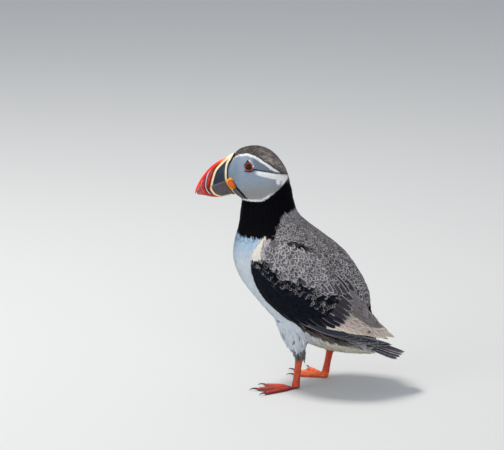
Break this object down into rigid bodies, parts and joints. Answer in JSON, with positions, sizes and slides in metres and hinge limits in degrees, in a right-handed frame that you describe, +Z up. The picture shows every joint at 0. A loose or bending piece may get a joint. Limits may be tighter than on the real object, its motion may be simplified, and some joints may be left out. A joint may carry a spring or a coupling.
{
  "type": "atlantic puffin model",
  "caption": "Life-size still model of an adult Atlantic puffin in breeding plumage, standing on both webbed feet with wings folded and head turned a little left.",
  "frame": {"origin": "on the floor, under the middle of the bounding box", "axes": "+Z up; the bird faces -X and its left side is towards -Y"},
  "size_m": [0.196, 0.1118, 0.2223],
  "materials": {
    "plumage": "close black feathers with dark brown-grey edges, white underneath",
    "down": "soft white feathers",
    "face": "short grey-white face feathers under a black crown",
    "bill": "horn, red with slate base plates and cream ridges",
    "rosette": "folded bare orange skin",
    "eye": "wet dark brown",
    "leg": "scaled orange-red skin",
    "claw": "smooth black horn"
  },
  "bodies": {
    "root": {"head": "face", "neck": "plumage", "trunk": "plumage", "tail": "plumage", "wing_left": "plumage", "wing_right": "plumage", "thigh_left": "down", "thigh_right": "down", "bill_upper": "bill", "bill_lower": "bill", "rosette_left": "rosette", "rosette_right": "rosette", "eye_left": "eye", "eye_right": "eye", "leg_left": "leg", "leg_right": "leg", "foot_left": "leg", "foot_right": "leg", "claw_inner_left": "claw", "claw_middle_left": "claw", "claw_outer_left": "claw", "claw_inner_right": "claw", "claw_middle_right": "claw", "claw_outer_right": "claw"}
  },
  "joints": []
}
